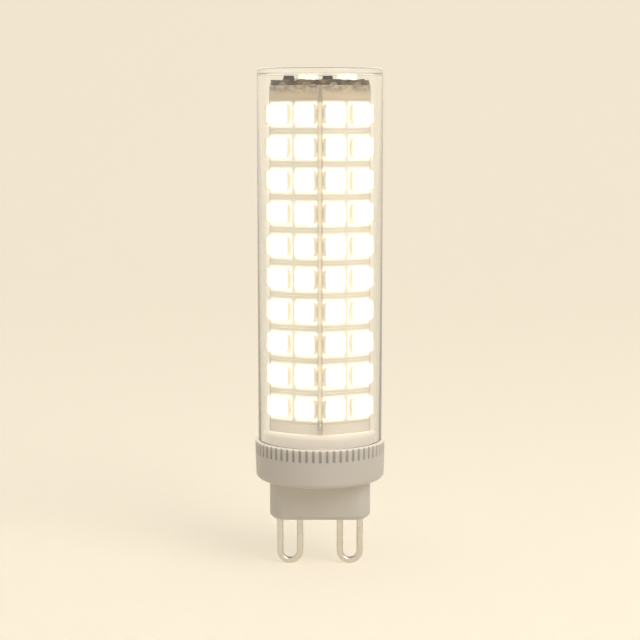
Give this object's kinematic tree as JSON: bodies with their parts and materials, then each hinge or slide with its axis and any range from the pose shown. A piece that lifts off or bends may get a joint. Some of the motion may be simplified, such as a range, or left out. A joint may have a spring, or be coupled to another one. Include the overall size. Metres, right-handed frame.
{
  "type": "corn led bulb",
  "caption": "Corn LED bulb: a five-sided column of lit LED boards in a clear flat-topped tube, on a white ribbed collar with a plug and two wire-loop contact pins.",
  "frame": {"origin": "middle of the plug's lower face, where the contact pins leave it", "axes": "+Z along the bulb's axis from the cap to the closed end of the tube, +X along the row of the two pins, one corner of the board column towards -Y"},
  "size_m": [0.0194, 0.0194, 0.0742],
  "materials": {
    "clear_cover": "clear, polished",
    "base_plastic": "moulded, satin",
    "pin_metal": "nickel plated wire",
    "board_white": "white solder mask",
    "led_housing": "moulded white, lit from inside",
    "led_phosphor": "phosphor gel, lit",
    "component_black": "moulded black",
    "solder": "tinned",
    "driver_laminate": "green solder mask",
    "capacitor_sleeve": "shrunk sleeve",
    "fuse_coating": "dipped coating",
    "chip_ceramic": "glazed film on ceramic",
    "lead_red": "wire insulation",
    "lead_black": "wire insulation"
  },
  "bodies": {
    "root": {"base_housing": "base_plastic", "board_joints": "solder", "bridge_rectifier": "component_black", "capacitor_leads": "solder", "chip_resistors": "chip_ceramic", "cover_tube": "clear_cover", "current_regulators": "component_black", "driver_board": "driver_laminate", "fuse_resistor": "fuse_coating", "led_packages_1": "led_housing", "led_packages_2": "led_housing", "led_packages_3": "led_housing", "led_packages_4": "led_housing", "led_packages_5": "led_housing", "led_panel_1": "board_white", "led_panel_2": "board_white", "led_panel_3": "board_white", "led_panel_4": "board_white", "led_panel_5": "board_white", "led_phosphor_1": "led_phosphor", "led_phosphor_2": "led_phosphor", "led_phosphor_3": "led_phosphor", "led_phosphor_4": "led_phosphor", "led_phosphor_5": "led_phosphor", "live_lead": "lead_red", "negative_lead": "lead_black", "neutral_lead": "lead_black", "pin_left": "pin_metal", "pin_right": "pin_metal", "positive_lead": "lead_red", "seam_joints": "solder", "smoothing_capacitor": "capacitor_sleeve", "top_board": "board_white", "top_led_packages": "led_housing", "top_led_phosphor": "led_phosphor"}
  },
  "joints": []
}
